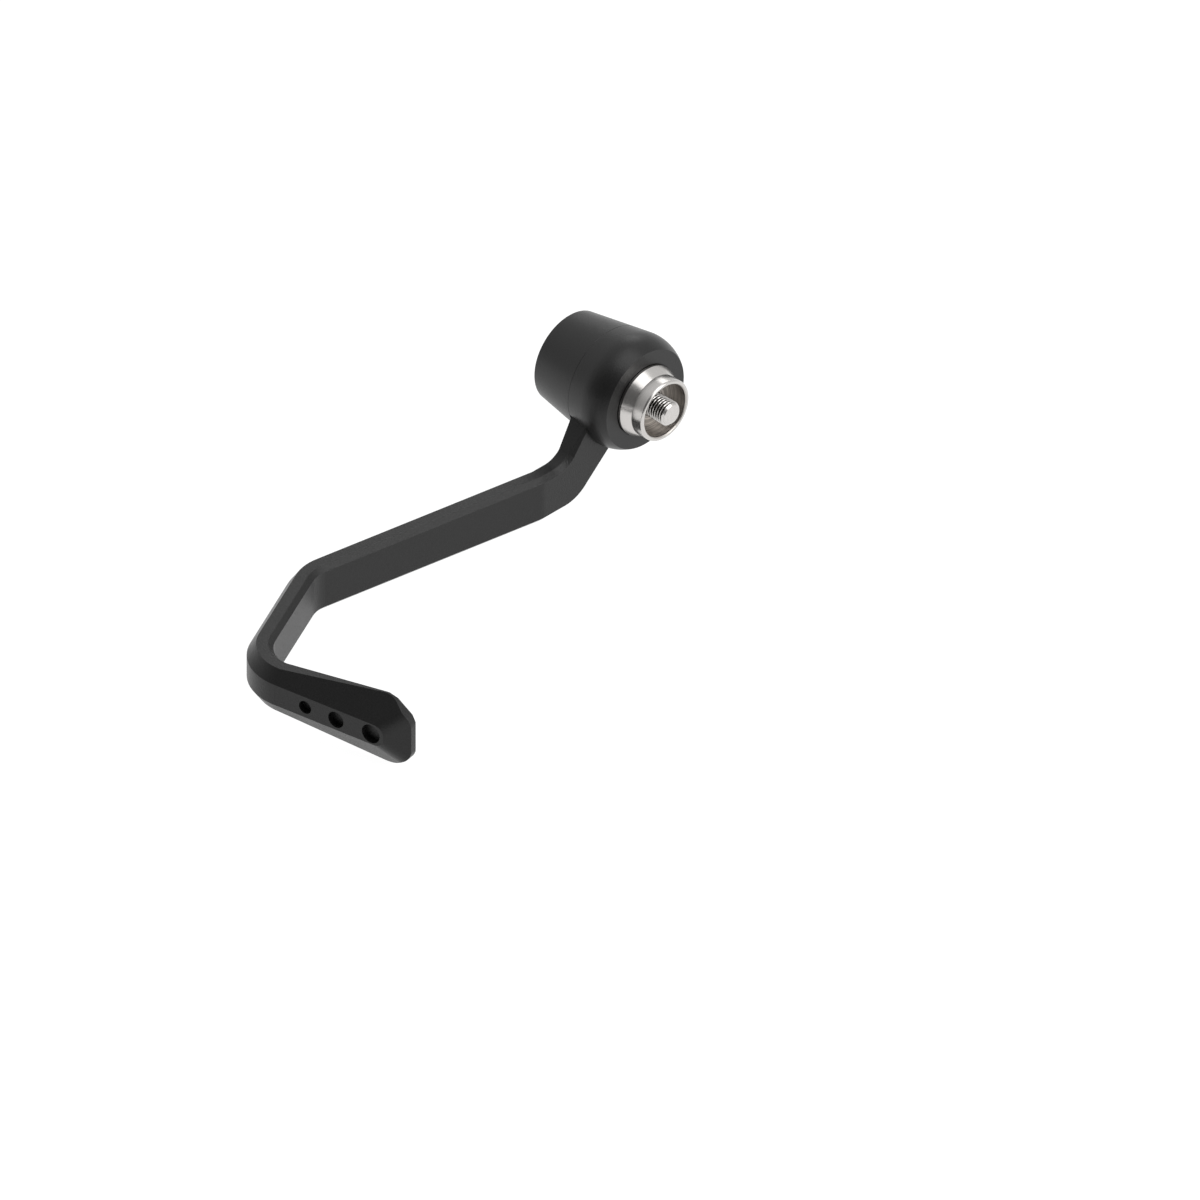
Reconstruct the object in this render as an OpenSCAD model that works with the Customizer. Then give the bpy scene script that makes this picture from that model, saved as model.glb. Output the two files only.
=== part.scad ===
// Brake lever guard for the end of a motorcycle handlebar.
// A machined arm sweeps out and round the tip of the lever. Its eye is clamped between
// the two halves of a moulded bobbin, on a turned spacer that sits in the end of the bar.
// Frame: the bar's axis is the X axis, +X points out of the bar, +Y forward, +Z up.
// The origin is on that axis, at the root of the spacer's cup, where the bar's end seats.

/* [Arm section] */
// Thickness of the arm, from its lever side to its outer side
arm_t = 8.2; // [7.5:0.1:10]
// Height of the arm
arm_h = 16.1; // [14:0.1:18]
// Chamfer on the lever side's long edges
lever_chamfer = 1.6; // [0.8:0.1:2]
// Height of the bevel on the outer side's long edges
bevel_h = 4.3; // [3:0.1:5]
// Lean of that bevel from upright
bevel_lean = 34; // [20:1:38]

/* [Arm path] */
// Depth of the arm's middle below the bar's axis
arm_drop = 23.4; // [22:0.1:27]
// Distance forward from the bar's axis to the first bend
bend_y = 36.3; // [34:0.1:45]
// Length of the long leg, from the first bend to the second
long_leg = 85.6; // [60:0.1:110]
// Length of the return leg, from the second bend to the third
return_leg = 49.6; // [40:0.1:60]
// Length of the blade, from the third bend to its tip
blade_len = 60.1; // [58:0.1:64]
// Turn at the first bend, away from the lever
bend_turn = 10; // [5:1:14]
// Turn at the second bend, back towards the lever
knee_turn = 35; // [25:1:40]
// Turn at the third bend, across the front of the lever
tip_turn = 75; // [65:1:80]
// Radius of the first bend at the arm's middle
bend_r = 6; // [5:0.5:12]
// Radius of the second and third bends at the arm's middle
corner_r = 15; // [10:0.5:17]

/* [Riser] */
// Slope of the riser from level
riser_slope = 46; // [42:1:50]
// Width of the riser, square to its slope
riser_w = 15.6; // [14.5:0.1:16]
// Offset of the riser's middle above the bar's axis
riser_offset = 1.1; // [0.5:0.1:1.5]
// Radius of the hollow on top, where the riser runs into the arm
riser_top_r = 8.6; // [6:0.1:9.5]
// Radius of the round below, where the riser runs into the arm
riser_low_r = 14.6; // [8:0.1:16]
// Radius of the arm's eye
eye_r = 11; // [10:0.1:12]

/* [Blade] */
// Level length of the blade before it flares
blade_lead = 0.5; // [0.2:0.1:2]
// Angle at which each long edge of the blade flares
flare = 7.1; // [4:0.1:8]
// Length of the tip, over which the blade narrows
tip_len = 8.2; // [7:0.1:9]
// Angle at which the tip narrows
tip_slope = 37; // [33:1:40]
// Radius of the corner where the tip starts to narrow
tip_shoulder_r = 8; // [3:0.5:9]
// Radius of the corner at the end of the tip
tip_end_r = 5; // [2:0.1:5.5]
// Distance from the tip to the end of the blade's narrow front face
strip_setback = 7.6; // [6.5:0.1:8]
// Slope of the bevel at the tip, from the front face
tip_bevel = 29; // [25:1:34]
// Radius of the rounded hips where that bevel meets the long ones
hip_r = 7; // [5:0.5:7.5]
// Diameters of the three round recesses in the front face, from the bend to the tip
recess_d = [4.5, 5.7, 6.6]; // [3:0.1:7]
// Distances of the recesses from the tip
recess_back = [36.7, 25.2, 12.2]; // [12:0.1:40]
// Depth of the recesses
recess_depth = 2.2; // [1:0.1:4]

/* [Bobbin] */
// Radius of the bobbin at the joint between its halves
bobbin_r = 17.85; // [17.5:0.05:21]
// Taper of the bobbin towards its outer end
bobbin_taper = 8.9; // [5:0.1:10]
// Length of the outer half
outer_half_len = 17.6; // [16.5:0.1:20]
// Distance from the bobbin's inner face to the arm's eye
eye_depth = 7.3; // [6.5:0.1:8]
// Distance from the inner face to the bobbin's widest place
widest_at = 7.4; // [6:0.1:8]
// Radius of the round shoulder at the inner end
shoulder_r = 13.5; // [12:0.1:14]
// Rounding of the outer end's edge
end_round = 0.4; // [0.2:0.1:1]
// Radius of the well for the bolt's head
well_r = 8.9; // [8.7:0.1:10]
// Thickness of the outer half's floor, under the collar
outer_floor = 1.6; // [1.4:0.1:3]
// Width of the fine chamfer along the joint between the halves
joint_chamfer = 0.08; // [0.05:0.01:0.3]

/* [Spacer] */
// Radius of the cup that sits in the end of the bar
cup_r = 10.3; // [10:0.1:11]
// Wall of the cup
cup_wall = 1.5; // [1.2:0.1:2]
// Length of the cup outside
cup_len = 4.5; // [3:0.1:6]
// Depth of the cup inside
cup_depth = 6; // [4:0.1:7]
// Radius of the flange
flange_r = 11.8; // [11.5:0.1:14]
// Length over which the flange swells from the cup
flange_swell = 3.4; // [2.5:0.1:5]
// Thickness of the flange's edge outside the bobbin
flange_edge = 1; // [0.8:0.1:2]
// Depth of the seat for the flange in the bobbin's inner face
seat_depth = 0.5; // [0.3:0.1:1.5]
// Radius of the spacer's sleeve, which carries the clamping load to the eye
sleeve_r = 6.5; // [6:0.1:7]

/* [Bolt] */
// Diameter of the bolt's thread
bolt_d = 8; // [6:1:8]
// Length of the bolt under its head
bolt_len = 30; // [28:1:34]
// Diameter of the bolt's head
head_d = 13; // [12:0.5:14]
// Height of the bolt's head
head_h = 8; // [6:0.5:8]
// Size of the hexagon socket across its flats
socket_af = 6; // [5:0.5:7]
// Depth of the hexagon socket
socket_depth = 4; // [3:0.5:5]
// Chamfer at the end of the thread
thread_chamfer = 0.8; // [0.5:0.1:1.2]
// Chamfer round the top of the head
head_chamfer = 0.8; // [0.4:0.1:1.2]
// Thickness of the collar's flange under the bolt's head
collar_edge = 1.3; // [1:0.1:2]

/* [Fits] */
// Clearance round the flange in its seat
seat_clearance = 0.25; // [0.15:0.05:0.4]
// Clearance round the bolt
bolt_clearance = 0.25; // [0.15:0.05:0.4]
// Clearance round the arm in the bobbin
arm_clearance = 0.15; // [0.1:0.05:0.3]
// Clearance round the sleeves in the bobbin
sleeve_clearance = 0.1; // [0.05:0.05:0.2]
// Clearance round the collar's flange in the well
collar_clearance = 0.3; // [0.2:0.05:0.5]

/* [Hidden] */
$fn = 96;

// How far a cut runs on outside the piece that it cuts
past = 1;
// A size past the whole part
far = 150;
// A shift too small to see, which makes faces that would just touch cross instead
hair = 0.002;
// How far a growing cut runs on into the next one
step = 0.01;

// Stations along the bar's axis
face_x = flange_swell + flange_edge;
seat_x = face_x + seat_depth;
eye_x = face_x + eye_depth;
joint_x = eye_x + arm_t;
end_x = joint_x + outer_half_len;
well_x = joint_x + outer_floor;
head_x = well_x + collar_edge;
tip_x = head_x - bolt_len;

// Radii round the bar's axis
bolt_r = bolt_d / 2;
bolt_hole_r = bolt_r + bolt_clearance;
sleeve_hole_r = sleeve_r + sleeve_clearance;

// Bobbin outline: a cone, and a round shoulder that is tangent to it
widest_x = face_x + widest_at;
cone_x = widest_x + shoulder_r * sin(bobbin_taper);
shoulder_c = cone_r(widest_x) - shoulder_r / cos(bobbin_taper);

// Arm section
bevel_w = bevel_h * tan(bevel_lean);
half_h = arm_h / 2;
strip_h = half_h - bevel_h;
arm_mid_x = eye_x + arm_t / 2;
arm_top = half_h - arm_drop;
arm_low = -half_h - arm_drop;

// Riser: its two faces, and the corners where they would meet the level arm
riser_top = riser_offset + riser_w / 2;
riser_low = riser_offset - riser_w / 2;
top_corner = slope_meets(riser_top, arm_top);
low_corner = slope_meets(riser_low, arm_low);
top_run = riser_top_r * tan(riser_slope / 2);
low_run = riser_low_r * tan(riser_slope / 2);

// How much of the length on each side of a bend's corner the bend takes up
bend_run = bend_r * tan(bend_turn / 2);
bend_start = bend_y - bend_run;
knee_run = corner_r * tan(knee_turn / 2);
tip_run = corner_r * tan(tip_turn / 2);

// Blade outline, from the third bend
flare_at = tip_run + blade_lead;
shoulder_at = blade_len - tip_len;
start_h = half_h - blade_lead * tan(flare);
shoulder_h = half_h + (shoulder_at - flare_at) * tan(flare);
end_h = shoulder_h - tip_len * tan(tip_slope);

// The hip between the tip's bevel and a long one: which way it runs seen from the front, how
// steeply it falls, and the slope of each bevel beside it, seen along it
hip_turn = atan2(tan(tip_bevel), tan(bevel_lean));
hip_fall = atan(sin(hip_turn) * tan(bevel_lean));
hip_tip_side = atan(tan(tip_bevel) * sin(hip_turn) * cos(hip_fall));
hip_long_side = atan(tan(bevel_lean) * cos(hip_turn) * cos(hip_fall));

// Where a curve of radius r is tangent to a straight, one is shifted by a hair and both run
// on for this length, so that their faces cross instead of just touching
function lap(r) = sqrt(2 * hair * r);
function lap_angle(r) = lap(r) / r * 180 / PI;

// Of two cuts that run on into each other, the one in a hollow laps further than the level one
// does, and the one on a round less far, so that they don't end at the same place
lap_more = 1.2;
lap_less = 0.8;
function lap_share(side) = side < 0 ? lap_more : lap_less;

function cone_r(x) = bobbin_r - (x - joint_x) * tan(bobbin_taper);

// Where a face of the riser, at a distance square to its slope, reaches a level
function slope_meets(square, level) = (square / cos(riser_slope) - level) / tan(riser_slope);

// Turns a shape made along Z to lie along the bar's axis
module along_bar() rotate([0, 90, 0]) children();

// A disc on the bar's axis, from x0 to x1
module bar_disc(x0, x1, r) along_bar() translate([0, 0, x0]) cylinder(h = x1 - x0, r = r);

// Stands a drawing of y and z upright, and gives it a thickness from x0 to x1
module upright(x0, x1) translate([x0, 0, 0]) rotate([90, 0, 90]) linear_extrude(x1 - x0) children();

// Section of the arm: x runs outwards from its middle, y is height
module arm_section(half_h = half_h) {
    lever = -arm_t / 2;
    outer = arm_t / 2;
    polygon([
        [lever, half_h - lever_chamfer],
        [lever, lever_chamfer - half_h],
        [lever + lever_chamfer, -half_h],
        [outer - bevel_w, -half_h],
        [outer, -strip_h],
        [outer, strip_h],
        [outer - bevel_w, half_h],
        [lever + lever_chamfer, half_h]
    ]);
}

// A straight length of the arm along +Y, with what follows placed at its end
module ahead(length, lap_before, lap_after) {
    translate([0, -lap_before, 0])
        rotate([-90, 0, 0])
            linear_extrude(lap_before + length + lap_after) arm_section();
    translate([0, length, 0]) children();
}

// The section swept round a bend of radius r, and a lap further at each end
module sweep(r, angle) {
    rotate([0, 0, -lap_angle(r)])
        rotate_extrude(angle = angle + 2 * lap_angle(r)) translate([r + hair, 0]) children();
}

// A bend towards the lever, with what follows placed at its end
module turn_in(angle) {
    translate([-corner_r, 0, 0]) {
        sweep(corner_r, angle) arm_section(half_h + hair);
        rotate([0, 0, angle]) translate([corner_r, 0, 0]) children();
    }
}

// The first bend, away from the lever, with what follows placed at its end
module turn_out(angle) {
    translate([bend_r, 0, 0]) {
        rotate([0, 0, 180 - angle]) sweep(bend_r, angle) mirror([1, 0]) arm_section(half_h + hair);
        rotate([0, 0, -angle]) translate([-bend_r, 0, 0]) children();
    }
}

// Side view of the riser, from the eye to the arm's first bend
module riser_outline() {
    square_on = [sin(riser_slope), cos(riser_slope)];
    top_start = [top_corner, arm_top] + top_run * [-cos(riser_slope), sin(riser_slope)];
    low_start = [low_corner, arm_low] + low_run * [-cos(riser_slope), sin(riser_slope)];
    top_stop = [top_corner + top_run, arm_top];
    low_stop = [low_corner + low_run, arm_low];
    end_y = bend_start + lap(bend_r);
    difference() {
        union() {
            circle(eye_r);
            polygon([
                riser_low * square_on,
                [low_corner, arm_low],
                [end_y, arm_low],
                [end_y, arm_top],
                top_stop,
                top_start,
                riser_top * square_on
            ]);
        }
        translate(top_stop + [0, riser_top_r]) circle(riser_top_r);
        difference() {
            polygon([
                low_start,
                low_start - [past, 0],
                [low_corner, arm_low] - [past, past],
                low_stop - [0, past],
                low_stop
            ]);
            translate(low_stop + [0, riser_low_r]) circle(riser_low_r);
        }
    }
}

// A cut that grows from nothing to a full bevel along the edge of a block.
// The edge is the Y axis, and the block lies on its +X and +Z sides.
module growing_cut(length, width, depth) {
    l = length + step;
    w = width * l / length;
    d = depth * l / length;
    polyhedron(
        points = [[0, 0, 0], [3 * w, l, -2 * d], [-2 * w, l, 3 * d], [-3 * w, l, -3 * d]],
        faces = [[0, 2, 1], [0, 3, 2], [0, 1, 3], [1, 2, 3]]
    );
}

// The same bevel where the edge follows a curve about the X axis, down from the riser.
// It is cut from outside the block, which side = -1 puts beyond the curve and 1 within it.
module curved_cut(r, width, depth, side) {
    near = r + hair + side * depth / 2;
    tip = r + hair - side * depth * 1.5;
    rotate([0, 90, 0])
        rotate([0, 0, -riser_slope])
            rotate_extrude(angle = riser_slope + lap_share(side) * lap_angle(r))
                polygon([[near, -width], [near, 1.5 * width], [tip, -width / 2]]);
}

// The same bevel along a level edge
module level_cut(length, width, depth) {
    rotate([-90, 0, 0])
        linear_extrude(length)
            polygon([[1.5 * width, depth / 2], [-width, depth], [-width / 2, -1.5 * depth]]);
}

// The bevels down one edge of the riser, from the eye to the arm's first bend
module edge_bevels(face, corner, level, run, r, side, width, depth) {
    length = corner * cos(riser_slope) - level * sin(riser_slope) - run - eye_r;
    back = lap_share(-side) * lap(r);
    up = side > 0 ? 0 : 1;
    rotate([-riser_slope, 0, 0])
        translate([0, eye_r, face]) mirror([0, 0, up]) growing_cut(length, width, depth);
    translate([0, corner + run, level + r]) curved_cut(r, width, depth, side);
    translate([0, corner + run - back, level]) mirror([0, 0, up]) level_cut(far, width, depth);
}

// The bevels along one side of the riser; the side's face is the plane of Y and Z
module riser_bevels(width, depth) {
    edge_bevels(riser_top, top_corner, arm_top, top_run, riser_top_r, -1, width, depth);
    edge_bevels(riser_low, low_corner, arm_low, low_run, riser_low_r, 1, width, depth);
}

// The riser, whose edges are sharp at the eye and bevelled like the arm's at its foot
module riser() {
    difference() {
        upright(eye_x, joint_x) riser_outline();
        translate([eye_x, 0, 0]) riser_bevels(lever_chamfer, lever_chamfer);
        translate([joint_x, 0, 0]) mirror([1, 0, 0]) riser_bevels(bevel_w, bevel_h);
    }
}

// What rounding takes off the corner between two edges that run at angles a and b
// The circle is a hair larger than r, so that it crosses the edges instead of just touching
module round_corner(corner, a, b, r) {
    run = r * tan((a - b) / 2);
    out = past * [sin(-(a + b) / 2), cos((a + b) / 2)];
    start = corner - run * [cos(a), sin(a)];
    end = corner + run * [cos(b), sin(b)];
    difference() {
        polygon([end, end + out, corner + 2 * out, start + out, start]);
        translate(start + r * [sin(a), -cos(a)]) circle(r + hair);
    }
}

// The middle of the round that takes the place of the corner between two edges
function round_middle(corner, a, b, r) =
    corner + r * (1 / cos((a - b) / 2) - 1) * [sin((a + b) / 2), -cos((a + b) / 2)];

// Front view of the blade, along X from the third bend
module blade_outline() {
    difference() {
        polygon([
            [tip_run, -start_h],
            [shoulder_at, -shoulder_h],
            [blade_len, -end_h],
            [blade_len, end_h],
            [shoulder_at, shoulder_h],
            [tip_run, start_h]
        ]);
        for (side = [0, 1]) mirror([0, side]) {
            round_corner([shoulder_at, shoulder_h], flare, -tip_slope, tip_shoulder_r);
            round_corner([blade_len, end_h], -tip_slope, -90, tip_end_r);
        }
    }
}

// The block whose three bevels meet the blade's narrow front face
module blade_bevels() {
    front_h = strip_h + hair;
    foot_h = front_h + arm_t / tan(bevel_lean);
    strip_end = blade_len - strip_setback;
    difference() {
        rotate([90, 0, 90])
            linear_extrude(blade_len + past)
                polygon([[-foot_h, 0], [foot_h, 0], [front_h, arm_t], [-front_h, arm_t]]);
        translate([strip_end, 0, arm_t])
            rotate([0, tip_bevel, 0])
                translate([-past, -far / 2, 0]) cube(far);
        for (side = [0, 1]) mirror([0, side, 0])
            translate([strip_end, front_h, arm_t])
                rotate([0, hip_fall, hip_turn])
                    upright(-far / 2, far / 2)
                        round_corner([0, 0], hip_tip_side, -hip_long_side, hip_r);
    }
}

// A chamfer on the blade's lever side, along an edge that passes a point at an angle
module blade_chamfer(point, angle) {
    translate([point.x, point.y, 0])
        rotate([0, 0, angle])
            translate([0, -lever_chamfer, 0])
                rotate([45, 0, 0])
                    translate([-far / 2, -far / 2, -far]) cube(far);
}

// The blade, lying on its lever side with its front up
module flat_blade() {
    difference() {
        intersection() {
            blade_bevels();
            linear_extrude(arm_t) blade_outline();
        }
        for (side = [0, 1]) mirror([0, side, 0]) {
            blade_chamfer([flare_at, half_h], flare);
            blade_chamfer([blade_len, end_h], -tip_slope);
            blade_chamfer(
                round_middle([shoulder_at, shoulder_h], flare, -tip_slope, tip_shoulder_r),
                (flare - tip_slope) / 2
            );
            blade_chamfer(
                round_middle([blade_len, end_h], -tip_slope, -90, tip_end_r),
                -(tip_slope + 90) / 2
            );
        }
        blade_chamfer([blade_len, 0], -90);
        for (i = [0 : len(recess_d) - 1])
            translate([blade_len - recess_back[i], 0, arm_t - recess_depth])
                cylinder(h = recess_depth + past, d = recess_d[i]);
    }
}

// The blade, from where it starts to flare
module blade() {
    translate([-arm_t / 2, -flare_at, 0]) rotate([90, 0, 90]) flat_blade();
}

// The guard's arm, machined from one piece
module guard_arm() color("#2b2b2d") {
    difference() {
        union() {
            riser();
            translate([arm_mid_x, bend_start, -arm_drop])
                turn_out(bend_turn)
                ahead(long_leg - bend_run - knee_run, lap(bend_r), lap(corner_r))
                turn_in(knee_turn)
                ahead(return_leg - knee_run - tip_run, lap(corner_r), lap(corner_r))
                turn_in(tip_turn)
                ahead(blade_lead, lap(corner_r), lap(corner_r))
                blade();
        }
        bar_disc(eye_x - past, joint_x + past, bolt_hole_r);
    }
}

// The space that the arm takes in the inner half of the bobbin
module arm_pocket() {
    upright(eye_x, joint_x + past) {
        circle(eye_r + arm_clearance);
        rotate(-riser_slope)
            translate([0, riser_low - arm_clearance]) square([far, riser_w + 2 * arm_clearance]);
    }
}

// Half section of the bobbin's inner half: x is radius, y runs along the bar's axis
module inner_profile() {
    intersection() {
        polygon([
            [0, face_x],
            [cone_r(face_x), face_x],
            [cone_r(joint_x - joint_chamfer), joint_x - joint_chamfer],
            [cone_r(joint_x) - joint_chamfer, joint_x],
            [0, joint_x]
        ]);
        union() {
            translate([0, cone_x]) square([far, joint_x]);
            square([shoulder_c, joint_x]);
            translate([shoulder_c, widest_x]) circle(shoulder_r);
        }
    }
}

// The bobbin's inner half, with the pocket for the arm and the seat for the flange
module inner_bobbin() color("#2a2a2b") {
    difference() {
        along_bar() rotate_extrude() inner_profile();
        arm_pocket();
        bar_disc(face_x - past, seat_x, flange_r + seat_clearance);
        bar_disc(face_x - past, eye_x + past, sleeve_hole_r);
    }
}

// Half section of the bobbin's outer half
module outer_profile() {
    difference() {
        polygon([
            [sleeve_hole_r, joint_x],
            [cone_r(joint_x) - joint_chamfer, joint_x],
            [cone_r(joint_x + joint_chamfer), joint_x + joint_chamfer],
            [cone_r(end_x), end_x],
            [well_r, end_x],
            [well_r, well_x],
            [sleeve_hole_r, well_x]
        ]);
        round_corner([cone_r(end_x), end_x], 0, -90 - bobbin_taper, end_round);
    }
}

// The bobbin's outer half, with the well for the bolt's head
module outer_bobbin() color("#2a2a2b") along_bar() rotate_extrude() outer_profile();

// The turned spacer: a cup for the end of the bar, a flange and a sleeve
module bar_spacer() color("#b9b4ae") {
    floor_x = cup_depth - cup_len;
    rim = cup_wall / 2;
    along_bar() rotate_extrude() {
        translate([cup_r - rim, rim - cup_len]) circle(rim);
        polygon([
            [bolt_hole_r, floor_x],
            [cup_r - cup_wall, floor_x],
            [cup_r - cup_wall, rim - cup_len],
            [cup_r, rim - cup_len],
            [cup_r, 0],
            [flange_r, flange_swell],
            [flange_r, seat_x],
            [sleeve_r, seat_x],
            [sleeve_r, eye_x],
            [bolt_hole_r, eye_x]
        ]);
    }
}

// The stepped collar that takes the load of the bolt's head to the arm's eye
module head_collar() color("#b9b4ae") {
    difference() {
        union() {
            bar_disc(joint_x, head_x, sleeve_r);
            bar_disc(well_x, head_x, well_r - collar_clearance);
        }
        bar_disc(joint_x - past, head_x + past, bolt_hole_r);
    }
}

// The socket head bolt; its thread shows in the cup
module clamp_bolt() color("#b4b2b0") {
    top_x = head_x + head_h;
    head_r = head_d / 2;
    difference() {
        along_bar() rotate_extrude() polygon([
            [0, tip_x],
            [bolt_r - thread_chamfer, tip_x],
            [bolt_r, tip_x + thread_chamfer],
            [bolt_r, head_x],
            [head_r, head_x],
            [head_r, top_x - head_chamfer],
            [head_r - head_chamfer, top_x],
            [0, top_x]
        ]);
        along_bar() translate([0, 0, top_x - socket_depth])
            cylinder(h = socket_depth + past, d = socket_af / cos(30), $fn = 6);
    }
}

guard_arm();
inner_bobbin();
outer_bobbin();
bar_spacer();
head_collar();
clamp_bolt();
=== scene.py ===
# %% [markdown]
# A lever guard for the end of a handlebar.
# The real thing is a machined arm whose eye is clamped between the two halves of a moulded
# bobbin, on a turned steel spacer, by one socket head bolt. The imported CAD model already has
# every piece at its true size, so this lesson loads it as a fixed frame, gives each piece its
# finish, makes the bolt with its real thread, and lights the whole as a studio would.

import math

import bmesh
import bpy
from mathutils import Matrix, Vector


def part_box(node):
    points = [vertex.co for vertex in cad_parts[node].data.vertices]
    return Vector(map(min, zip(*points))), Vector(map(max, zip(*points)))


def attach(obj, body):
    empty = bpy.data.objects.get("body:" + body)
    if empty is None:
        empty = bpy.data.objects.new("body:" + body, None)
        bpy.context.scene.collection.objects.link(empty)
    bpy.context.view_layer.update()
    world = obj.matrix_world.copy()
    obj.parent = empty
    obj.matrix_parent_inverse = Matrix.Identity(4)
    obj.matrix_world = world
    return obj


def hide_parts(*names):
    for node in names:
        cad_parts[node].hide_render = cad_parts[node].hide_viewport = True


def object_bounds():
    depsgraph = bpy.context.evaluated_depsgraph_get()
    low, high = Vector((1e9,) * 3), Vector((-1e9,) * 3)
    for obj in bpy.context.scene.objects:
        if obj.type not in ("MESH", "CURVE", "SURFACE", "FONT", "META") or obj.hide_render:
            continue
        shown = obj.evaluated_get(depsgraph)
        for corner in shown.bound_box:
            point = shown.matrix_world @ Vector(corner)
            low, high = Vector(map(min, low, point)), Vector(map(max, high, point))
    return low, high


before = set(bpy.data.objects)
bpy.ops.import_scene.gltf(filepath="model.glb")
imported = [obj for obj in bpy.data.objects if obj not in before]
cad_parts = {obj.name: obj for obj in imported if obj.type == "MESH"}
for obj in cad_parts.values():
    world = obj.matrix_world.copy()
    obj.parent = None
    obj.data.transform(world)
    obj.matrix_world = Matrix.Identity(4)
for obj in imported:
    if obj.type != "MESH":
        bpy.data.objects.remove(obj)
CAD_LOW, CAD_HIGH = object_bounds()
MM = 0.001

print("pieces in the frame:", ", ".join(sorted(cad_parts)))
print("whole size in mm:", [round(side / MM, 1) for side in CAD_HIGH - CAD_LOW])

# %% [markdown]
# Sums on sockets.
# A finish or a thread is a formula, and a formula reads best as one. A node tree can only be
# wired node by node, so a small class stands for an output socket and turns + - * / into Math
# nodes. Everything else goes through one method, node, which takes the node's type, its
# settings and what its sockets are given.

# %% A wire that can be added, subtracted, multiplied and divided


class Wire:
    """An output socket; a sum on it adds the Math node that works it out."""

    def __init__(self, graph, socket):
        self.graph = graph
        self.socket = socket

    def math(self, operation, *others):
        return self.graph.math(operation, self, *others)

    def __add__(self, other):
        return self.math("ADD", other)

    def __radd__(self, other):
        return self.graph.math("ADD", other, self)

    def __sub__(self, other):
        return self.math("SUBTRACT", other)

    def __rsub__(self, other):
        return self.graph.math("SUBTRACT", other, self)

    def __mul__(self, other):
        return self.math("MULTIPLY", other)

    def __rmul__(self, other):
        return self.graph.math("MULTIPLY", other, self)

    def __truediv__(self, other):
        return self.math("DIVIDE", other)

    def __rtruediv__(self, other):
        return self.graph.math("DIVIDE", other, self)

    def clamp(self):
        return self.math("MAXIMUM", 0.0).math("MINIMUM", 1.0)

    def beside(self, name):
        """Another output of the node that this one comes from."""
        return Wire(self.graph, self.socket.node.outputs[name])


class Graph:
    """A node tree that is filled by calls of node."""

    def __init__(self, tree):
        self.tree = tree

    def node(self, kind, settings=None, sockets=None, out=0):
        made = self.tree.nodes.new(kind)
        for name, value in (settings or {}).items():
            setattr(made, name, value)
        for name, value in (sockets or {}).items():
            if isinstance(value, Wire):
                self.tree.links.new(value.socket, made.inputs[name])
            else:
                made.inputs[name].default_value = value
        return Wire(self, made.outputs[out]) if made.outputs else made

    def math(self, operation, *values):
        return self.node("ShaderNodeMath", {"operation": operation}, dict(enumerate(values)))

    def vector_math(self, operation, *values, out="Vector"):
        return self.node("ShaderNodeVectorMath", {"operation": operation}, dict(enumerate(values)), out)

    def mix_colours(self, share, first, second):
        """The Mix node's colours are its inputs 6 and 7 and its output 2."""
        return self.node("ShaderNodeMix", {"data_type": "RGBA"}, {0: share, 6: first, 7: second}, 2)


def grey(level, warmth=0.0):
    """A near-grey colour; warmth lifts the red and lowers the blue by that share."""
    return (level * (1 + warmth), level, level * (1 - warmth), 1.0)


print("sums on sockets are ready")

# %% [markdown]
# The start of every finish.
# Each finish here is one Principled shader. What is the same all over, such as that it is metal,
# is written straight on the shader's socket. Only what changes over the surface is wired in: the
# colour, the roughness and the fine relief, which is a Bump node. Patterns read Object
# coordinates, which are the frame's own metres, so a grain keeps its real size. A colour is a
# level and a spread: the darkest and the palest that the pattern gives, as parts of the level.

# %% A finish with its shader and its object coordinates


def new_finish(name):
    """A material with a cleared tree; gives the material, its graph and the object coordinates."""
    finish = bpy.data.materials.new(name)
    finish.use_nodes = True
    finish.node_tree.nodes.clear()
    graph = Graph(finish.node_tree)
    place = graph.node("ShaderNodeTexCoord", out="Object")
    return finish, graph, place


def noise(graph, place, grain, detail=2.0):
    """Noise from 0 to 1 whose lumps are about grain metres across."""
    sockets = {"Vector": place, "Scale": 1 / grain, "Detail": detail}
    return graph.node("ShaderNodeTexNoise", None, sockets)


def shades(graph, pattern, level, spread, warmth=0.0):
    """A grey that goes with a pattern from the darkest to the palest part of a level."""
    dark, pale = [grey(level * part, warmth) for part in spread]
    return graph.mix_colours(pattern, dark, pale)


def relief(graph, height, depth):
    """A Bump node's normal, for a height from 0 to 1 that stands for depth metres."""
    sockets = {"Height": height, "Distance": depth, "Strength": 1.0}
    return graph.node("ShaderNodeBump", None, sockets)


def end_finish(graph, constants, wired):
    """The Principled shader, with its constants set and its varying inputs wired, and the output."""
    shader = graph.node("ShaderNodeBsdfPrincipled", None, {**constants, **wired})
    graph.node("ShaderNodeOutputMaterial", None, {"Surface": shader})


print("a finish can be started")

# %% [markdown]
# The arm's coating.
# The arm is milled from aluminium and then given a black satin coat, either anodised or a fine
# powder. Both leave a very dark surface with a faint sparkle: seen along the surface it turns
# mid grey, and seen square on it stays nearly black. A dielectric shader with a middling
# roughness does that by itself. The fine tooth of the coat is a bump, with a slow drift in
# roughness so that the broad flats don't look like paper.

# %% Black satin coating
ARM_BLACK = 0.0125
ARM_SPREAD = (0.72, 1.28)
ARM_IOR = 1.36
ARM_TOOTH = 0.4 * MM
ARM_TOOTH_DEPTH = 0.08 * MM
ARM_DRIFT = 9 * MM
ARM_ROUGHNESS = 0.28
DRIFT_ROUGHENS_ARM = 0.06
TOOTH_ROUGHENS_ARM = 0.1


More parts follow.
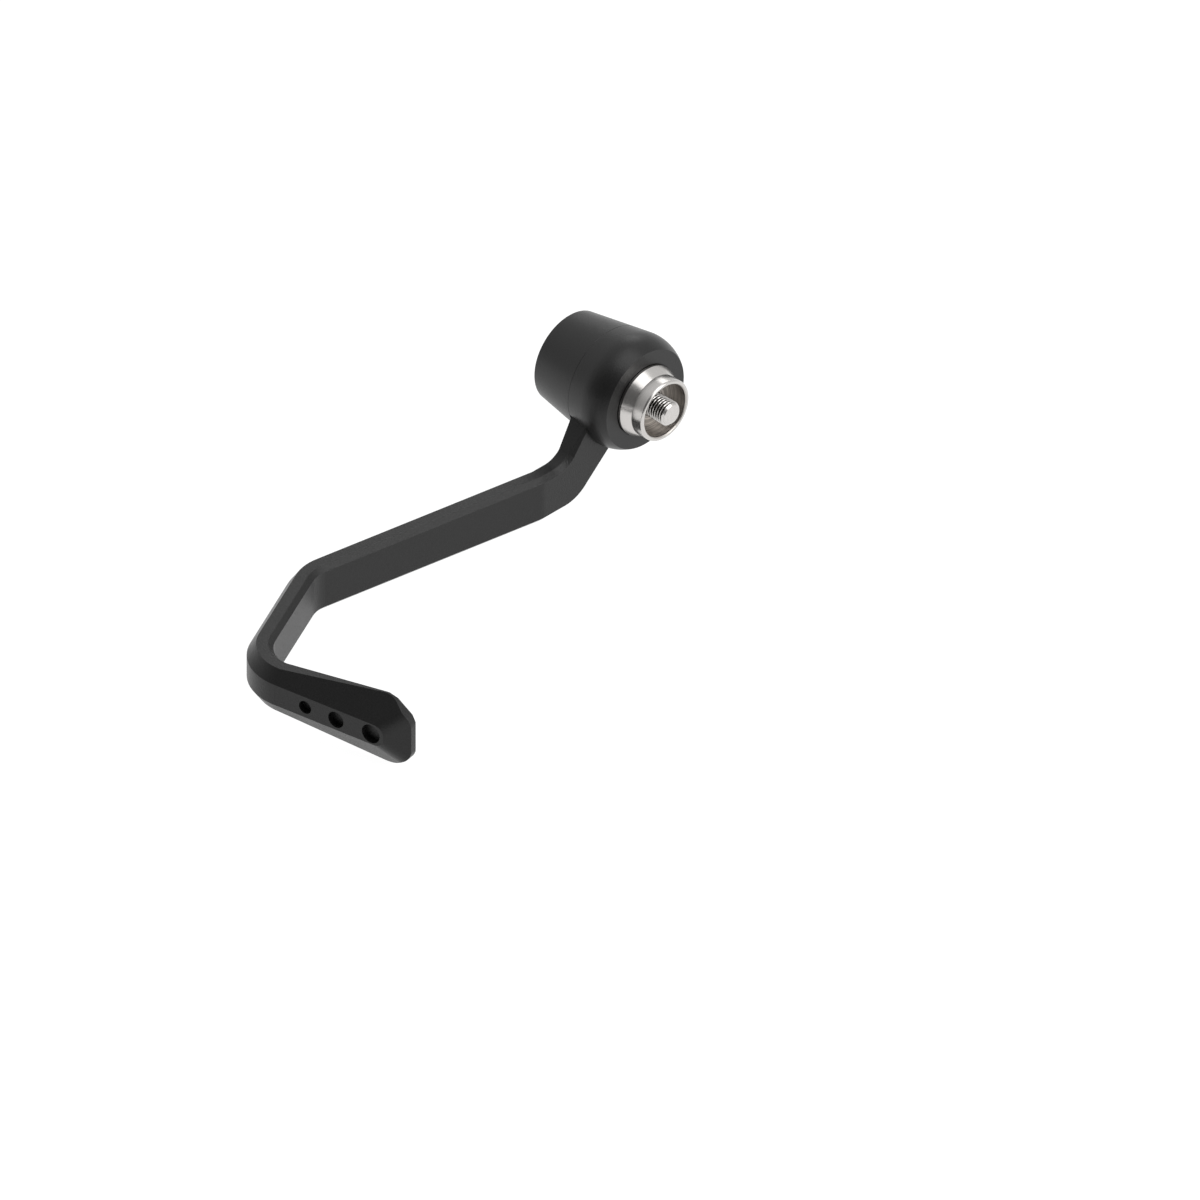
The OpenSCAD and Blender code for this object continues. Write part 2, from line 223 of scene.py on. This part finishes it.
def arm_coating():
    finish, graph, place = new_finish("arm_coating")
    tooth = noise(graph, place, ARM_TOOTH)
    drift = noise(graph, place, ARM_DRIFT)
    wired = {
        "Base Color": shades(graph, tooth, ARM_BLACK, ARM_SPREAD),
        "Roughness": ARM_ROUGHNESS + DRIFT_ROUGHENS_ARM * drift + TOOTH_ROUGHENS_ARM * tooth,
        "Normal": relief(graph, tooth, ARM_TOOTH_DEPTH),
    }
    end_finish(graph, {"IOR": ARM_IOR}, wired)
    return finish


ARM_COATING = arm_coating()
print("made the finish", ARM_COATING.name)

# %% [markdown]
# The bobbin's nylon.
# Sliders and bobbins are moulded or turned from a hard black nylon. It is duller than the arm
# and has a pebbled skin, with pebbles about four tenths of a millimetre across, from the mould's
# spark-eroded steel. Cells of a Voronoi pattern look like that skin more than plain noise does,
# and noise on top breaks up their order.

# %% Black grained nylon
NYLON_BLACK = 0.008
NYLON_SPREAD = (0.8, 1.2)
NYLON_IOR = 1.44
NYLON_GRAIN = 0.42 * MM
NYLON_GRAIN_DETAIL = 1.5
NYLON_GRAIN_DEPTH = 0.042 * MM
NYLON_DRIFT = 6 * MM
NYLON_ROUGHNESS = 0.3
DRIFT_ROUGHENS_NYLON = 0.05
GRAIN_ROUGHENS_NYLON = 0.07
GRAIN_SHARE = 0.6
PEBBLE_SHARE = 0.5


def bobbin_nylon():
    finish, graph, place = new_finish("bobbin_nylon")
    grain = noise(graph, place, NYLON_GRAIN, NYLON_GRAIN_DETAIL)
    sockets = {"Vector": place, "Scale": 1 / NYLON_GRAIN}
    pebbles = graph.node("ShaderNodeTexVoronoi", {"feature": "SMOOTH_F1"}, sockets)
    drift = noise(graph, place, NYLON_DRIFT)
    skin = (GRAIN_SHARE * grain + PEBBLE_SHARE * pebbles).clamp()
    wired = {
        "Base Color": shades(graph, skin, NYLON_BLACK, NYLON_SPREAD),
        "Roughness": NYLON_ROUGHNESS + DRIFT_ROUGHENS_NYLON * drift + GRAIN_ROUGHENS_NYLON * grain,
        "Normal": relief(graph, skin, NYLON_GRAIN_DEPTH),
    }
    end_finish(graph, {"IOR": NYLON_IOR}, wired)
    return finish


BOBBIN_NYLON = bobbin_nylon()
print("made the finish", BOBBIN_NYLON.name)

# %% [markdown]
# Turned steel.
# The spacer and the collar are turned from stainless bar in a lathe. The tool leaves rings round
# the axis of the bar, far finer than a hair, which draw a reflection out along the axis. The
# rings depend only on how far out and how far along a point is, so the pattern is noise read at
# those two distances and not at the point itself. The cup is bored last, with a rougher tool,
# so its inside is duller than its outside and has scores, which are the same kind of noise with
# its contrast raised. The inside's colour is also set darker than the outside, as painted shade
# for the deep cup.

# %% Stainless steel with a lathe's rings
STEEL_LEVEL = 0.58
STEEL_SPREAD = (0.9, 1.08)
STEEL_WARMTH = 0.03
RING_PITCH = 0.09 * MM
RING_DETAIL = 1.0
RING_DEPTH = 0.0012 * MM
CLOUD_SIZE = 5 * MM
STEEL_ROUGHNESS = 0.17
RINGS_ROUGHEN_STEEL = 0.09
CLOUD_ROUGHENS_STEEL = 0.05
BORE_RADIUS = 9.2 * MM
BORE_SHADE_LEVEL = 0.4
BORE_SPREAD = (0.4, 1.6)
BORE_WARMTH = 0.06
BORE_ROUGHENS_STEEL = 0.12
SCORE_PITCH = 0.4 * MM
SCORE_CONTRAST = 3


def along_and_out(graph, place):
    """How far a point is along the bar's axis, which is X, and how far out from it."""
    along = graph.node("ShaderNodeSeparateXYZ", None, {0: place})
    across = graph.vector_math("MULTIPLY", place, (0.0, 1.0, 1.0))
    return along, graph.vector_math("LENGTH", across, out="Value")


def turned_steel():
    finish, graph, place = new_finish("turned_steel")
    along, out = along_and_out(graph, place)
    spot = graph.node("ShaderNodeCombineXYZ", None, {0: along, 1: out})
    rings = noise(graph, spot, RING_PITCH, RING_DETAIL)
    cloud = noise(graph, place, CLOUD_SIZE)
    scores = (SCORE_CONTRAST * (noise(graph, spot, SCORE_PITCH) - 0.5) + 0.5).clamp()
    bored = out.math("LESS_THAN", BORE_RADIUS)
    turned = shades(graph, rings, STEEL_LEVEL, STEEL_SPREAD, STEEL_WARMTH)
    # painted shade: the bore's colour is darker than the turned outside, standing in for the shade
    # inside the cup
    bore_shade = shades(graph, scores, BORE_SHADE_LEVEL, BORE_SPREAD, BORE_WARMTH)
    rough = STEEL_ROUGHNESS + RINGS_ROUGHEN_STEEL * rings + CLOUD_ROUGHENS_STEEL * cloud
    wired = {
        "Base Color": graph.mix_colours(bored, turned, bore_shade),
        "Roughness": rough + BORE_ROUGHENS_STEEL * bored,
        "Normal": relief(graph, rings, RING_DEPTH),
    }
    end_finish(graph, {"Metallic": 1.0}, wired)
    return finish


TURNED_STEEL = turned_steel()
print("made the finish", TURNED_STEEL.name)

# %% [markdown]
# The bolt's measures.
# The bolt is a socket head cap screw of 8 mm. Its CAD solid is plain, because a fine thread is
# left to this script. Its tip, its top and its head's radius are measured from that solid's box,
# so the bolt stays where the CAD has it. The rest are a bolt's usual sizes, with the fine pitch
# of 1 mm and a thread a little over six tenths of it deep.

# %% Measure the bolt in the frame
BOLT_LOW, BOLT_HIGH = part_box("clamp_bolt")
HEAD_R = (BOLT_HIGH.y - BOLT_LOW.y) / 2
TIP_X = BOLT_LOW.x
TOP_X = BOLT_HIGH.x
HEAD_H = 8 * MM
UNDER_X = TOP_X - HEAD_H
THREAD_R = 4 * MM
PITCH = 1.0 * MM
DEPTH_SHARE = 0.61
THREAD_DEPTH = DEPTH_SHARE * PITCH
TIP_CHAMFER = 0.8 * MM
SOCKET_FLATS = 6 * MM
SOCKET_DEPTH = 4 * MM

print("the bolt runs from x =", round(TIP_X / MM, 2), "to", round(TOP_X / MM, 2), "mm")
print("its head's radius is", round(HEAD_R / MM, 2), "mm")

# %% [markdown]
# The bolt's steel.
# A bolt is cold formed and its thread is rolled, so it has no lathe rings. It is cleaned bright
# and stays a little softer than the turned pieces, with a faint mottle. The roots of the thread
# are painted dark as painted shade, by how deep a point lies under the crests.

# %% Bright bolt steel
BOLT_LEVEL = 0.6
BOLT_SPREAD = (0.85, 1.1)
BOLT_MOTTLE = 0.7 * MM
BOLT_MOTTLE_DEPTH = 0.004 * MM
BOLT_ROUGHNESS = 0.2
MOTTLE_ROUGHENS_BOLT = 0.1
ROOT_SHADE_LEVEL = 0.1


def bolt_steel():
    finish, graph, place = new_finish("bolt_steel")
    mottle = noise(graph, place, BOLT_MOTTLE)
    along, out = along_and_out(graph, place)
    past_tip = along.math("GREATER_THAN", TIP_X + TIP_CHAMFER)
    before_head = along.math("LESS_THAN", UNDER_X)
    # painted shade: the colour goes dark in the thread's roots, by how deep a point lies under the
    # crests
    root = ((THREAD_R - out) / THREAD_DEPTH).clamp() * past_tip * before_head
    clean = shades(graph, mottle, BOLT_LEVEL, BOLT_SPREAD, STEEL_WARMTH)
    wired = {
        "Base Color": graph.mix_colours(root, clean, grey(ROOT_SHADE_LEVEL, STEEL_WARMTH)),
        "Roughness": BOLT_ROUGHNESS + MOTTLE_ROUGHENS_BOLT * mottle,
        "Normal": relief(graph, mottle, BOLT_MOTTLE_DEPTH),
    }
    end_finish(graph, {"Metallic": 1.0}, wired)
    return finish


BOLT_STEEL = bolt_steel()
print("made the finish", BOLT_STEEL.name)

# %% [markdown]
# Even shading for the CAD pieces.
# Five of the six pieces have their true shape already. A CAD mesh comes as loose triangles, long
# ones on the flats and narrow ones round the bends, and a satin surface shows every step in
# their normals. The mesh itself is never touched. Instead a small tree welds the triangles as
# they are drawn and marks each edge sharper than a set angle, and a Weighted Normal modifier
# then lets the big flats keep their own direction while the bends shade smoothly into them.

# %% A tree that welds a mesh and creases its sharp edges
WELD = 0.003 * MM
CREASE = math.radians(14)


def start_tree(name, inputs):
    """A new Geometry Nodes tree's graph, and a wire from each of its named inputs."""
    tree = bpy.data.node_groups.new(name, "GeometryNodeTree")
    for label, kind in inputs.items():
        tree.interface.new_socket(label, in_out="INPUT", socket_type="NodeSocket" + kind)
    tree.interface.new_socket("Geometry", in_out="OUTPUT", socket_type="NodeSocketGeometry")
    graph = Graph(tree)
    group = tree.nodes.new("NodeGroupInput")
    return graph, {label: Wire(graph, group.outputs[label]) for label in inputs}


def end_tree(graph, geometry):
    """Wires a geometry to the tree's output and gives the tree."""
    group = graph.tree.nodes.new("NodeGroupOutput")
    graph.tree.links.new(geometry.socket, group.inputs["Geometry"])
    return graph.tree


def weld_tree():
    inputs = {"Geometry": "Geometry", "Weld": "Float", "Crease": "Float"}
    graph, given = start_tree("weld_and_crease", inputs)
    sockets = {"Geometry": given["Geometry"], "Distance": given["Weld"]}
    welded = graph.node("GeometryNodeMergeByDistance", None, sockets)
    angle = graph.node("GeometryNodeInputMeshEdgeAngle")
    soft = angle.math("LESS_THAN", given["Crease"])
    sockets = {"Geometry": welded, "Shade Smooth": soft}
    creased = graph.node("GeometryNodeSetShadeSmooth", {"domain": "EDGE"}, sockets)
    return end_tree(graph, creased)


WELD_TREE = weld_tree()
print("the weld tree has", len(WELD_TREE.nodes), "nodes")

# %% [markdown]
# Dress the CAD pieces.
# Each piece gets its finish in its material slots, and the two modifiers that even its shading.
# The second one weighs each face's direction by the face's size, at its strongest setting, 100.

# %% Give each CAD piece its finish
FULL_WEIGHT = 100
DRESSED = {
    "guard_arm": ARM_COATING,
    "inner_bobbin": BOBBIN_NYLON,
    "outer_bobbin": BOBBIN_NYLON,
    "bar_spacer": TURNED_STEEL,
    "head_collar": TURNED_STEEL,
}


def dress(node_name, finish):
    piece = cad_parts[node_name]
    for slot in piece.material_slots:
        slot.material = finish
    weld = piece.modifiers.new("weld", "NODES")
    weld.node_group = WELD_TREE
    values = {"Weld": WELD, "Crease": CREASE}
    for item in WELD_TREE.interface.items_tree:
        if item.name in values:
            weld[item.identifier] = values[item.name]
    even = piece.modifiers.new("even_shading", "WEIGHTED_NORMAL")
    even.keep_sharp = True
    even.weight = FULL_WEIGHT
    return piece


for node_name, finish in DRESSED.items():
    dress(node_name, finish)
    print("dressed", node_name, "in", finish.name)

# %% [markdown]
# The rolled thread.
# A thread is one rule: the radius at a point depends on how far the point is along the bolt,
# less one pitch for each turn about it. That is just what Geometry Nodes are good at. A flat grid
# is rolled into a tube, its rows run along the bolt, and each point is pushed in or out by the
# rule. The first and last rows are drawn in to the axis, which closes the tube. The crest is
# flat for an eighth of the pitch and the root for a quarter, close to the standard form, and a
# cone at the tip cuts the thread away as the chamfer does on the real bolt.

# %% A tree that rolls a grid into a threaded rod
ROWS_A_PITCH = 14
ROUND = 72
CREST_SHARE = 1 / 8
ROOT_SHARE = 1 / 4
SEAM = 0.001 * MM
ROD_INPUTS = {
    "Tip": "Float",
    "End": "Float",
    "Crest radius": "Float",
    "Pitch": "Float",
    "Depth": "Float",
    "Chamfer": "Float",
    "Rows": "Int",
    "Round": "Int",
    "Finish": "Material",
}


def thread_radius(given, along, turn):
    """The radius at a place along the bolt and a turn from 0 to 1 about it."""
    phase = along / given["Pitch"] + turn
    from_crest = 2 * (phase.math("FRACT") - 0.5).math("ABSOLUTE")
    slope = ((from_crest - CREST_SHARE) / (1 - CREST_SHARE - ROOT_SHARE)).clamp()
    cut = given["Crest radius"] - given["Depth"] * slope
    cone = given["Crest radius"] - given["Chamfer"] + (along - given["Tip"])
    return cut.math("MINIMUM", cone)


def thread_tree():
    graph, given = start_tree("threaded_rod", ROD_INPUTS)
    grid_size = {"Size X": 1.0, "Size Y": 1.0}
    grid_points = {"Vertices X": given["Rows"], "Vertices Y": given["Round"]}
    grid = graph.node("GeometryNodeMeshGrid", None, {**grid_size, **grid_points})
    spot = graph.node("GeometryNodeInputPosition")
    across = graph.node("ShaderNodeSeparateXYZ", None, {0: spot})
    row = across + 0.5
    turn = across.beside("Y") + 0.5
    row_step = 1 / (given["Rows"] - 1)
    share = ((row - row_step) / (1 - 2 * row_step)).clamp()
    along = given["Tip"] + share * (given["End"] - given["Tip"])
    from_end = 0.5 - (row - 0.5).math("ABSOLUTE")
    is_open = from_end.math("GREATER_THAN", row_step / 2)
    radius = thread_radius(given, along, turn) * is_open
    angle = turn * math.tau
    y = radius * angle.math("COSINE")
    z = radius * angle.math("SINE")
    rolled = graph.node("ShaderNodeCombineXYZ", None, {0: along, 1: y, 2: z})
    shaped = graph.node("GeometryNodeSetPosition", None, {"Geometry": grid, "Position": rolled})
    closed = graph.node("GeometryNodeMergeByDistance", None, {"Geometry": shaped, "Distance": SEAM})
    real = graph.node("GeometryNodeRealizeInstances", None, {"Geometry": closed})
    sockets = {"Geometry": real, "Material": given["Finish"]}
    return end_tree(graph, graph.node("GeometryNodeSetMaterial", None, sockets))


THREAD_TREE = thread_tree()
print("the thread's tree has", len(THREAD_TREE.nodes), "nodes")

# %% [markdown]
# From a tree to a plain mesh.
# The tree is put on an empty mesh as a modifier, its inputs are set by their identifiers, and
# the result is read back as an ordinary mesh. The modifier isn't kept: what is left is a piece
# like any other, at the origin, with its place in its mesh.

# %% Run a tree once and keep its mesh


def run_tree(name, tree, values):
    """A new mesh from a Geometry Nodes tree with these input values."""
    carrier = bpy.data.objects.new(name + "_carrier", bpy.data.meshes.new(name + "_start"))
    bpy.context.scene.collection.objects.link(carrier)
    modifier = carrier.modifiers.new("make", "NODES")
    modifier.node_group = tree
    for item in tree.interface.items_tree:
        if item.in_out == "INPUT":
            modifier[item.identifier] = values[item.name]
    depsgraph = bpy.context.evaluated_depsgraph_get()
    mesh = bpy.data.meshes.new_from_object(carrier.evaluated_get(depsgraph), depsgraph=depsgraph)
    bpy.data.objects.remove(carrier)
    mesh.name = name
    return mesh


ROD_IN_HEAD = 1 * MM
THREAD_TURNS = (UNDER_X - TIP_X) / PITCH
THREAD_MESH = run_tree(
    "thread",
    THREAD_TREE,
    {
        "Tip": TIP_X,
        "End": UNDER_X + ROD_IN_HEAD,
        "Crest radius": THREAD_R,
        "Pitch": PITCH,
        "Depth": THREAD_DEPTH,
        "Chamfer": TIP_CHAMFER,
        "Rows": round(THREAD_TURNS * ROWS_A_PITCH),
        "Round": ROUND + 1,
        "Finish": BOLT_STEEL,
    },
)
print("the thread has", len(THREAD_MESH.polygons), "faces over", round(THREAD_TURNS, 1), "turns")

# %% [markdown]
# The bolt's head.
# The head is a drum with a knurled side, a chamfered top and a hexagonal socket that ends in a
# shallow cone. It is a stack of rings: each ring gives a radius for every angle, and the mesh
# joins one ring to the next. A round ring has one radius, the knurl's radius ripples, and the
# socket's follows a hexagon. One function then makes the whole head as a closed shell.

# %% The head as a stack of rings
KNURLS = 48
KNURL_STEPS = 6
KNURL_DEPTH = 0.22 * MM
KNURL_LEAD = 0.5 * MM
HEAD_STEPS = KNURLS * KNURL_STEPS
HEAD_CHAMFER = 0.8 * MM
UNDER_CHAMFER = 0.4 * MM
UNDER_INSET = 0.2 * MM
EDGE_DROP = 0.2 * MM
EDGE_WIDTH = 0.3 * MM
SOCKET_LEAD = 0.25 * MM
SOCKET_LEDGE = 0.1 * MM
CONE_DEPTH = 0.8 * MM


def round_ring(radius):
    return lambda angle: radius


def knurled_ring(radius):
    return lambda angle: radius - KNURL_DEPTH * abs(math.sin(angle * KNURLS / 2))


def hexagon_ring(flats):
    sector = math.tau / 6

    def radius(angle):
        return flats / 2 / math.cos((angle + sector / 2) % sector - sector / 2)

    return radius


def shell_of_rings(stack, steps):
    """A closed mesh round the X axis from (x, ring) pairs; the first and last are poles."""
    shell = bmesh.new()
    start = shell.verts.new((stack[0][0], 0, 0))
    end = shell.verts.new((stack[-1][0], 0, 0))
    circles = []
    for x, ring in stack[1:-1]:
        circle = []
        for step in range(steps):
            angle = math.tau * step / steps
            radius = ring(angle)
            circle.append(shell.verts.new((x, radius * math.cos(angle), radius * math.sin(angle))))
        circles.append(circle)
    for step in range(steps):
        after = (step + 1) % steps
        shell.faces.new((start, circles[0][after], circles[0][step]))
        shell.faces.new((end, circles[-1][step], circles[-1][after]))
        for one, two in zip(circles, circles[1:]):
            shell.faces.new((one[step], one[after], two[after], two[step]))
    bmesh.ops.recalc_face_normals(shell, faces=shell.faces)
    return shell


def head_stack():
    """The rings from under the head, over its top and down the socket; None marks a pole."""
    socket_r = SOCKET_FLATS / 2 / math.cos(math.pi / 6)
    floor_x = TOP_X - SOCKET_DEPTH
    return [
        (UNDER_X, None),
        (UNDER_X, round_ring(HEAD_R - UNDER_INSET - UNDER_CHAMFER)),
        (UNDER_X + UNDER_CHAMFER, round_ring(HEAD_R - UNDER_INSET)),
        (UNDER_X + UNDER_CHAMFER + KNURL_LEAD, knurled_ring(HEAD_R)),
        (TOP_X - HEAD_CHAMFER - KNURL_LEAD, knurled_ring(HEAD_R)),
        (TOP_X - HEAD_CHAMFER, round_ring(HEAD_R - KNURL_DEPTH)),
        (TOP_X - EDGE_DROP, round_ring(HEAD_R - HEAD_CHAMFER)),
        (TOP_X, round_ring(HEAD_R - HEAD_CHAMFER - EDGE_WIDTH)),
        (TOP_X, round_ring(socket_r + SOCKET_LEAD)),
        (TOP_X - SOCKET_LEAD, hexagon_ring(SOCKET_FLATS)),
        (floor_x, hexagon_ring(SOCKET_FLATS)),
        (floor_x, round_ring(SOCKET_FLATS / 2 - SOCKET_LEDGE)),
        (floor_x - CONE_DEPTH, None),
    ]


HEAD_SHELL = shell_of_rings(head_stack(), HEAD_STEPS)
print("the head has", len(HEAD_SHELL.faces), "faces and", KNURLS, "knurls")

# %% [markdown]
# One bolt from two shells.
# The rod's end runs a little way into the head, so that the two closed shells overlap inside the
# steel. They are joined in one mesh, because the bolt is one piece. Edges sharper than 30
# degrees stay crisp and the rest shade smooth.

# %% Join the rod and the head, and stand it for the CAD bolt
BOLT_CREASE = math.radians(30)


def mesh_object(name, mesh, finish):
    mesh.materials.clear()
    mesh.materials.append(finish)
    for face in mesh.polygons:
        face.material_index = 0
    mesh.shade_smooth()
    mesh.set_sharp_from_angle(angle=BOLT_CREASE)
    piece = bpy.data.objects.new(name, mesh)
    bpy.context.scene.collection.objects.link(piece)
    return piece


HEAD_SHELL.from_mesh(THREAD_MESH)
bmesh.ops.recalc_face_normals(HEAD_SHELL, faces=HEAD_SHELL.faces)
BOLT_MESH = bpy.data.meshes.new("threaded_bolt")
HEAD_SHELL.to_mesh(BOLT_MESH)
HEAD_SHELL.free()
THREADED_BOLT = mesh_object("threaded_bolt", BOLT_MESH, BOLT_STEEL)
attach(THREADED_BOLT, "root")
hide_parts("clamp_bolt")
print("the bolt has", len(BOLT_MESH.polygons), "faces")

# %% [markdown]
# The floor.
# A product picture is taken on a white table. Here it is a wide slab, whose top is just under
# the lowest point. For the eye, and for what shows in the steel, most of it glows plain white;
# the rest is a matt surface, which keeps a faint shadow of the guard. It is thick, so that a low
# camera that starts below its top still sees all but plain white.

# %% A white floor that keeps a faint shadow
FLOOR_HALF = 6.0
FLOOR_THICK = 1.0
FLOOR_GAP = 0.05 * MM
FLOOR_WHITE = 0.8
GLOW_SHARE = 0.85
GLOW = 1.15


def floor_finish():
    finish, graph, _ = new_finish("floor_white")
    to_eye = graph.node("ShaderNodeLightPath", out="Is Camera Ray")
    seen = to_eye + to_eye.beside("Is Glossy Ray") + to_eye.beside("Is Transmission Ray")
    matt = graph.node("ShaderNodeBsdfDiffuse", None, {"Color": grey(FLOOR_WHITE)})
    glow = graph.node("ShaderNodeEmission", None, {"Color": grey(1.0), "Strength": GLOW})
    both = graph.node("ShaderNodeMixShader", None, {0: GLOW_SHARE * seen.clamp(), 1: matt, 2: glow})
    graph.node("ShaderNodeOutputMaterial", None, {"Surface": both})
    return finish


def make_floor():
    slab = bmesh.new()
    bmesh.ops.create_cube(slab, size=1.0)
    top = CAD_LOW.z - FLOOR_GAP
    for corner in slab.verts:
        x, y, z = corner.co
        corner.co = (2 * FLOOR_HALF * x, 2 * FLOOR_HALF * y, top + FLOOR_THICK * (z - 0.5))
    mesh = bpy.data.meshes.new("floor")
    slab.to_mesh(mesh)
    slab.free()
    mesh.materials.append(floor_finish())
    floor = bpy.data.objects.new("floor", mesh)
    bpy.context.scene.collection.objects.link(floor)
    return floor


FLOOR = make_floor()
print("the floor's top is at z =", round((CAD_LOW.z - FLOOR_GAP) / MM, 2), "mm")
print("the floor has", len(FLOOR.data.polygons), "faces")

# %% [markdown]
# The room.
# The picture's light comes from behind and above the guard and from the white table under it,
# and the side that faces the camera is dim. That is why the faces seen square on are almost
# black. The world is a soft gradient: pale all round, and dim about one direction.

# %% A pale room that is dim on the camera's side
ROOM_PALE = 0.8
ROOM_DIM = 0.13
DIM_SIDE = Vector((-0.36, 0.89, 0.28)).normalized()
DIM_EDGES = (0.12, 0.92)


def make_room():
    world = bpy.data.worlds.new("studio")
    world.use_nodes = True
    world.node_tree.nodes.clear()
    graph = Graph(world.node_tree)
    way = graph.node("ShaderNodeTexCoord", out="Generated")
    facing = graph.vector_math("DOT_PRODUCT", way, tuple(DIM_SIDE), out="Value")
    edge = {"Value": facing, 1: DIM_EDGES[0], 2: DIM_EDGES[1]}
    dimness = graph.node("ShaderNodeMapRange", {"interpolation_type": "SMOOTHSTEP"}, edge)
    colour = graph.mix_colours(dimness, grey(ROOM_PALE), grey(ROOM_DIM))
    light = graph.node("ShaderNodeBackground", None, {"Color": colour, "Strength": 1.0})
    graph.node("ShaderNodeOutputWorld", None, {"Surface": light})
    bpy.context.scene.world = world


make_room()
print("the room is pale at", ROOM_PALE, "and dim at", ROOM_DIM)

# %% [markdown]
# The lamps.
# Three soft boxes give the bright patches in the steel and the soft sheen on the bobbin's
# shoulder. Each is aimed at the bobbin from a direction, at a distance, and its power is set by
# its area, so that a bigger box is not a brighter one. The list gives each box's direction, the
# length of its side in metres and its brightness.

# %% Three soft boxes
BOBBIN_MIDDLE = sum(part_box("inner_bobbin"), Vector()) / 2
LAMP_DISTANCE = 1.2
LAMPS = {
    "top_box": (Vector((-0.2, -0.02, 0.98)), 0.95, 1.4),
    "side_box": (Vector((-0.83, -0.24, 0.51)), 0.8, 3.1),
    "back_box": (Vector((0.52, -0.66, 0.54)), 0.4, 1.6),
}


def soft_box(name, way, side, brightness):
    lamp = bpy.data.lights.new(name, "AREA")
    lamp.shape = "SQUARE"
    lamp.size = side
    lamp.energy = brightness * math.pi * side * side
    holder = bpy.data.objects.new(name, lamp)
    bpy.context.scene.collection.objects.link(holder)
    holder.location = BOBBIN_MIDDLE + way.normalized() * LAMP_DISTANCE
    holder.rotation_euler = way.to_track_quat("Z", "Y").to_euler()
    return holder


for lamp_name, (way, side, brightness) in LAMPS.items():
    soft_box(lamp_name, way, side, brightness)
    print(lamp_name, "gives", brightness, "from", [round(part, 2) for part in way])

# %% [markdown]
# The camera.
# The picture is an isometric one: lines that are parallel on the guard stay parallel, and the
# three axes are foreshortened alike. So the camera is orthographic, it looks along the diagonal
# of a cube, and its width is the picture's width in millimetres.

# %% An isometric camera
PICTURE_PIXELS = 1200
PIXELS_A_MM = 3.27
PICTURE_MIDDLE = Vector((-13.864, 37.776, -47.144)) * MM
TOWARDS_CAMERA = Vector((-1, 1, 1)).normalized()
CAMERA_DISTANCE = 1.0
NEAREST = 0.01
FARTHEST = 20.0


def make_camera():
    data = bpy.data.cameras.new("camera")
    data.type = "ORTHO"
    data.ortho_scale = PICTURE_PIXELS / PIXELS_A_MM * MM
    data.clip_start = NEAREST
    data.clip_end = FARTHEST
    camera = bpy.data.objects.new("camera", data)
    bpy.context.scene.collection.objects.link(camera)
    camera.location = PICTURE_MIDDLE + TOWARDS_CAMERA * CAMERA_DISTANCE
    camera.rotation_euler = TOWARDS_CAMERA.to_track_quat("Z", "Y").to_euler()
    bpy.context.scene.camera = camera
    return camera


CAMERA = make_camera()
bpy.context.scene.view_settings.view_transform = "Standard"
print("the picture is", round(CAMERA.data.ortho_scale / MM, 1), "mm wide")
